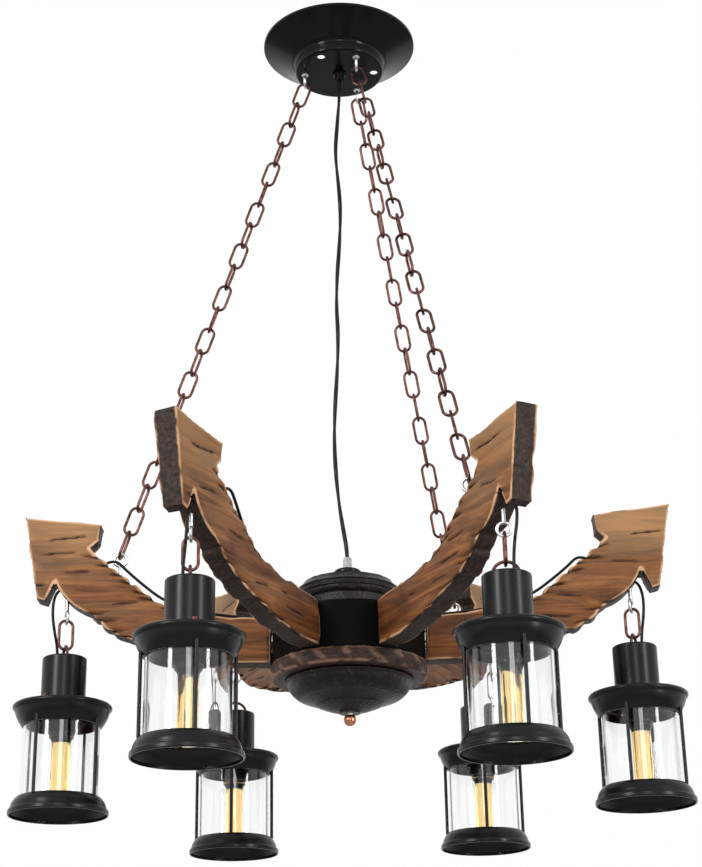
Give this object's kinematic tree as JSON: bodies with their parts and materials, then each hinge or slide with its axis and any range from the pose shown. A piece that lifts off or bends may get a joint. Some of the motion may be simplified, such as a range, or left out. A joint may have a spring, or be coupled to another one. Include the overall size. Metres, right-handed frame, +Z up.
{
  "type": "chandelier",
  "caption": "Chain-hung chandelier: a turned hub with arrow-ended wooden arms, each carrying a black metal and glass lantern on a link, under a ceiling canopy",
  "frame": {"origin": "centre of the canopy's rim, on the ceiling", "axes": "+Z up into the ceiling, +X to the right and -Y towards the viewer in the picture"},
  "size_m": [0.68, 0.612, 0.8889],
  "materials": {
    "canopy_steel": "gloss black",
    "black_plastic": "matt black",
    "copper_finish": "antique copper plating",
    "black_flex": "satin black sheath",
    "aged_bronze": "aged dark bronze",
    "black_steel": "satin black",
    "clear_grip": "clear plastic",
    "plate_wood": "dark stained",
    "zinc_steel": "zinc plated",
    "arm_wood": "brown stain, waxed",
    "lamp_black": "satin black",
    "clear_glass": "clear",
    "bulb_glass": "amber tinted"
  },
  "bodies": {
    "canopy": {"ceiling_canopy": "canopy_steel", "canopy_eye_bolts": "canopy_steel", "canopy_cord_grip": "black_plastic"},
    "wheel": {"hub_cord_grip": "clear_grip", "hub_top_dome": "aged_bronze", "hub_drum": "black_steel", "hub_plate": "plate_wood", "hub_bowl": "aged_bronze", "hub_finial": "copper_finish", "hub_rod": "zinc_steel", "hub_fasteners": "zinc_steel", "wire_connectors": "black_plastic", "arm_screw_eyes": "zinc_steel", "supply_cord": "black_flex", "lamp_leads": "black_flex", "arm_right": "arm_wood", "arm_rear_right": "arm_wood", "arm_rear_left": "arm_wood", "arm_left": "arm_wood", "arm_front_left": "arm_wood", "arm_front_right": "arm_wood"},
    "chain_left": {"chain_left": "copper_finish"},
    "chain_front": {"chain_front": "copper_finish"},
    "chain_rear": {"chain_rear": "copper_finish"},
    "link_right": {"link_right": "copper_finish"},
    "lamp_right": {"bail_right": "copper_finish", "cap_right": "lamp_black", "cage_right": "lamp_black", "glass_right": "clear_glass", "bulb_right": "bulb_glass"},
    "link_rear_right": {"link_rear_right": "copper_finish"},
    "lamp_rear_right": {"bail_rear_right": "copper_finish", "cap_rear_right": "lamp_black", "cage_rear_right": "lamp_black", "glass_rear_right": "clear_glass", "bulb_rear_right": "bulb_glass"},
    "link_rear_left": {"link_rear_left": "copper_finish"},
    "lamp_rear_left": {"bail_rear_left": "copper_finish", "cap_rear_left": "lamp_black", "cage_rear_left": "lamp_black", "glass_rear_left": "clear_glass", "bulb_rear_left": "bulb_glass"},
    "link_left": {"link_left": "copper_finish"},
    "lamp_left": {"bail_left": "copper_finish", "cap_left": "lamp_black", "cage_left": "lamp_black", "glass_left": "clear_glass", "bulb_left": "bulb_glass"},
    "link_front_left": {"link_front_left": "copper_finish"},
    "lamp_front_left": {"bail_front_left": "copper_finish", "cap_front_left": "lamp_black", "cage_front_left": "lamp_black", "glass_front_left": "clear_glass", "bulb_front_left": "bulb_glass"},
    "link_front_right": {"link_front_right": "copper_finish"},
    "lamp_front_right": {"bail_front_right": "copper_finish", "cap_front_right": "lamp_black", "cage_front_right": "lamp_black", "glass_front_right": "clear_glass", "bulb_front_right": "bulb_glass"}
  },
  "joints": [
    {"name": "fixture_sway", "type": "hinge", "parent": "canopy", "child": "wheel", "pos_m": [0, 0, 0.06137], "axis": [0, 1, 0], "range_deg": [-5, 5], "deforming": ["supply_cord"]},
    {"name": "chain_left_swing", "type": "hinge", "parent": "canopy", "child": "chain_left", "pos_m": [-0.04, 0, -0.054], "axis": [0, 1, 0], "range_deg": [-6.1, 6.1]},
    {"name": "chain_front_swing", "type": "hinge", "parent": "canopy", "child": "chain_front", "pos_m": [0.02, -0.03464, -0.054], "axis": [0, 1, 0], "range_deg": [-6.1, 6.1]},
    {"name": "chain_rear_swing", "type": "hinge", "parent": "canopy", "child": "chain_rear", "pos_m": [0.02, 0.03464, -0.054], "axis": [0, 1, 0], "range_deg": [-6.1, 6.1]},
    {"name": "link_right_swing", "type": "hinge", "parent": "wheel", "child": "link_right", "pos_m": [0.29, 0, -0.69278], "axis": [0.342, 0.9397, 0], "range_deg": [-20, 20], "deforming": ["lamp_leads"]},
    {"name": "lamp_right_swing", "type": "hinge", "parent": "link_right", "child": "lamp_right", "pos_m": [0.29, 0, -0.72018], "axis": [-0.9397, 0.342, 0], "range_deg": [-20, 20], "deforming": ["lamp_leads"]},
    {"name": "link_rear_right_swing", "type": "hinge", "parent": "wheel", "child": "link_rear_right", "pos_m": [0.145, 0.25115, -0.69278], "axis": [0, 1, 0], "range_deg": [-20, 20], "deforming": ["lamp_leads"]},
    {"name": "lamp_rear_right_swing", "type": "hinge", "parent": "link_rear_right", "child": "lamp_rear_right", "pos_m": [0.145, 0.25115, -0.72018], "axis": [-1, 0, 0], "range_deg": [-20, 20], "deforming": ["lamp_leads"]},
    {"name": "link_rear_left_swing", "type": "hinge", "parent": "wheel", "child": "link_rear_left", "pos_m": [-0.13615, 0.25605, -0.69278], "axis": [1, 0, 0], "range_deg": [-20, 20], "deforming": ["lamp_leads"]},
    {"name": "lamp_rear_left_swing", "type": "hinge", "parent": "link_rear_left", "child": "lamp_rear_left", "pos_m": [-0.13615, 0.25605, -0.72018], "axis": [0, 1, 0], "range_deg": [-20, 20], "deforming": ["lamp_leads"]},
    {"name": "link_left_swing", "type": "hinge", "parent": "wheel", "child": "link_left", "pos_m": [-0.29, 0, -0.69278], "axis": [-0.342, 0.9397, 0], "range_deg": [-20, 20], "deforming": ["lamp_leads"]},
    {"name": "lamp_left_swing", "type": "hinge", "parent": "link_left", "child": "lamp_left", "pos_m": [-0.29, 0, -0.72018], "axis": [-0.9397, -0.342, 0], "range_deg": [-20, 20], "deforming": ["lamp_leads"]},
    {"name": "link_front_left_swing", "type": "hinge", "parent": "wheel", "child": "link_front_left", "pos_m": [-0.13615, -0.25605, -0.69278], "axis": [-0.0872, 0.9962, 0], "range_deg": [-20, 20], "deforming": ["lamp_leads"]},
    {"name": "lamp_front_left_swing", "type": "hinge", "parent": "link_front_left", "child": "lamp_front_left", "pos_m": [-0.13615, -0.25605, -0.72018], "axis": [-0.9962, -0.0872, 0], "range_deg": [-20, 20], "deforming": ["lamp_leads"]},
    {"name": "link_front_right_swing", "type": "hinge", "parent": "wheel", "child": "link_front_right", "pos_m": [0.145, -0.25115, -0.69278], "axis": [1, 0, 0], "range_deg": [-20, 20], "deforming": ["lamp_leads"]},
    {"name": "lamp_front_right_swing", "type": "hinge", "parent": "link_front_right", "child": "lamp_front_right", "pos_m": [0.145, -0.25115, -0.72018], "axis": [0, 1, 0], "range_deg": [-20, 20], "deforming": ["lamp_leads"]}
  ],
  "couplings": [
    {"joint": "chain_left_swing", "follows": "fixture_sway", "ratio": 1.2041},
    {"joint": "chain_front_swing", "follows": "fixture_sway", "ratio": 1.2041},
    {"joint": "chain_rear_swing", "follows": "fixture_sway", "ratio": 1.2041}
  ]
}
